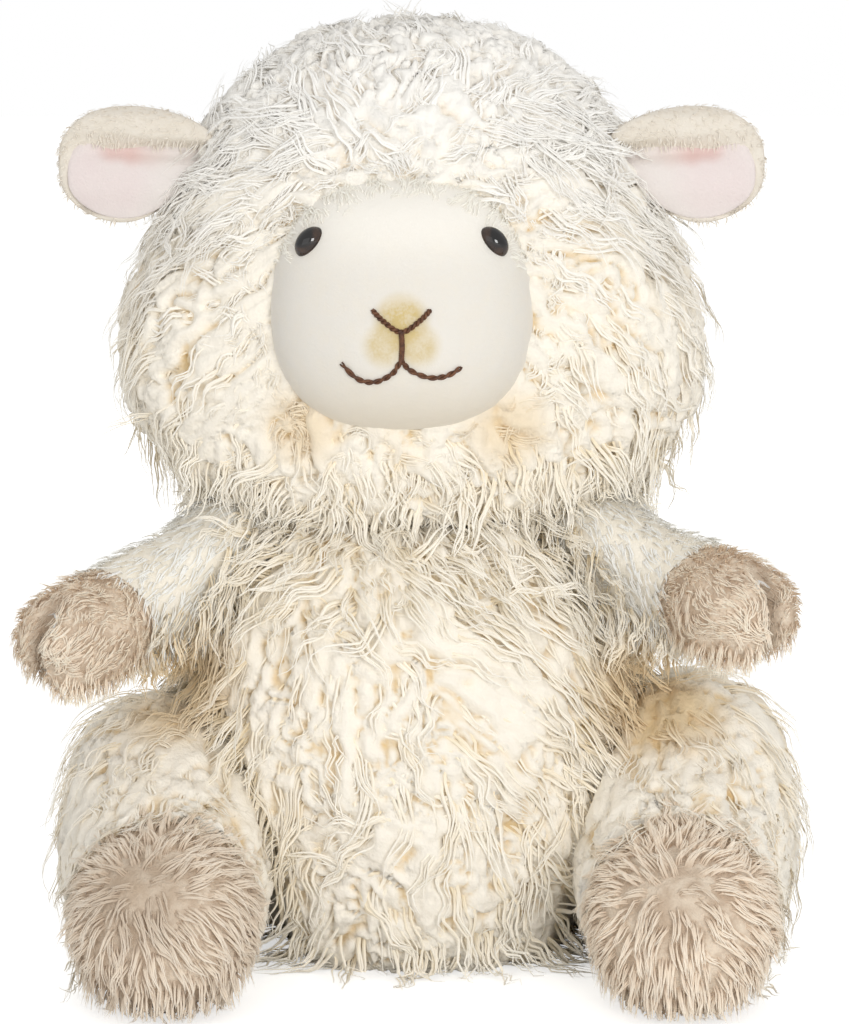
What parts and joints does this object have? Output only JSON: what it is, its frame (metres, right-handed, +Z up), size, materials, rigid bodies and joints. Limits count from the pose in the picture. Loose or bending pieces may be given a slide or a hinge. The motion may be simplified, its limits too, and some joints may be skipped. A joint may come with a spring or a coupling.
{
  "type": "plush sheep",
  "caption": "Seated plush sheep with a long curly wool coat, smooth face, upright leaf ears, short-pile arms, cloven fur paws and rounded fur feet.",
  "frame": {"origin": "the middle of the flat seat, on the resting plane", "axes": "+Z up, -Y out of the face, +X to the right as seen from the front"},
  "size_m": [0.2037, 0.1611, 0.2471],
  "materials": {
    "wool": "matte",
    "face_plush": "matte",
    "short_pile": "matte",
    "fur": "matte",
    "ear_lining": "matte",
    "fibre_filling": "matte",
    "pellet_bag": "matte",
    "thread": "satin",
    "eye": "gloss",
    "washer": "matte"
  },
  "bodies": {
    "torso": {"torso_cover": "wool", "torso_filling": "fibre_filling", "pellet_bag": "pellet_bag"},
    "neck": {"neck_filling": "fibre_filling"},
    "head": {"hood_cover": "wool", "face_panel": "face_plush", "head_filling": "fibre_filling", "eye_left": "eye", "eye_right": "eye", "eye_washer_left": "washer", "eye_washer_right": "washer", "nose_stitching": "thread", "lip_stitching": "thread", "mouth_stitching": "thread"},
    "ear_left": {"ear_back_left": "short_pile", "ear_lining_left": "ear_lining"},
    "ear_right": {"ear_back_right": "short_pile", "ear_lining_right": "ear_lining"},
    "arm_left": {"arm_sleeve_left": "short_pile", "paw_left": "fur", "arm_filling_left": "fibre_filling"},
    "arm_right": {"arm_sleeve_right": "short_pile", "paw_right": "fur", "arm_filling_right": "fibre_filling"},
    "leg_left": {"leg_sleeve_left": "wool", "foot_left": "fur", "leg_filling_left": "fibre_filling"},
    "leg_right": {"leg_sleeve_right": "wool", "foot_right": "fur", "leg_filling_right": "fibre_filling"}
  },
  "joints": [
    {"name": "head_turn", "type": "hinge", "parent": "torso", "child": "neck", "pos_m": [0, 0.004, 0.121], "axis": [0, 0, 1], "range_deg": [-20, 20], "stiffness_Nm_per_rad": 0.5},
    {"name": "head_nod", "type": "hinge", "parent": "neck", "child": "head", "pos_m": [0, 0.004, 0.121], "axis": [1, 0, 0], "range_deg": [-12, 12], "stiffness_Nm_per_rad": 1.2},
    {"name": "ear_fold_left", "type": "hinge", "parent": "head", "child": "ear_left", "pos_m": [-0.05709, -0.01287, 0.21194], "axis": [0.5083, 0, 0.8612], "range_deg": [-35, 35], "stiffness_Nm_per_rad": 0.03},
    {"name": "arm_swing_left", "type": "hinge", "parent": "torso", "child": "arm_left", "pos_m": [-0.04343, -0.004, 0.10172], "axis": [-0.8305, -0.1167, 0.5446], "range_deg": [-15, 25], "stiffness_Nm_per_rad": 0.3},
    {"name": "leg_swing_left", "type": "hinge", "parent": "torso", "child": "leg_left", "pos_m": [-0.045, -0.004, 0.036], "axis": [-0.9186, -0.2462, -0.309], "range_deg": [0, 20], "stiffness_Nm_per_rad": 0.8},
    {"name": "ear_fold_right", "type": "hinge", "parent": "head", "child": "ear_right", "pos_m": [0.05706, -0.01289, 0.21194], "axis": [0.5089, 0, -0.8608], "range_deg": [-35, 35], "stiffness_Nm_per_rad": 0.03},
    {"name": "arm_swing_right", "type": "hinge", "parent": "torso", "child": "arm_right", "pos_m": [0.04343, -0.004, 0.10172], "axis": [-0.8305, 0.1167, -0.5446], "range_deg": [-15, 25], "stiffness_Nm_per_rad": 0.3},
    {"name": "leg_swing_right", "type": "hinge", "parent": "torso", "child": "leg_right", "pos_m": [0.053, -0.004, 0.036], "axis": [-0.9186, 0.2462, 0.309], "range_deg": [0, 20], "stiffness_Nm_per_rad": 0.8}
  ]
}
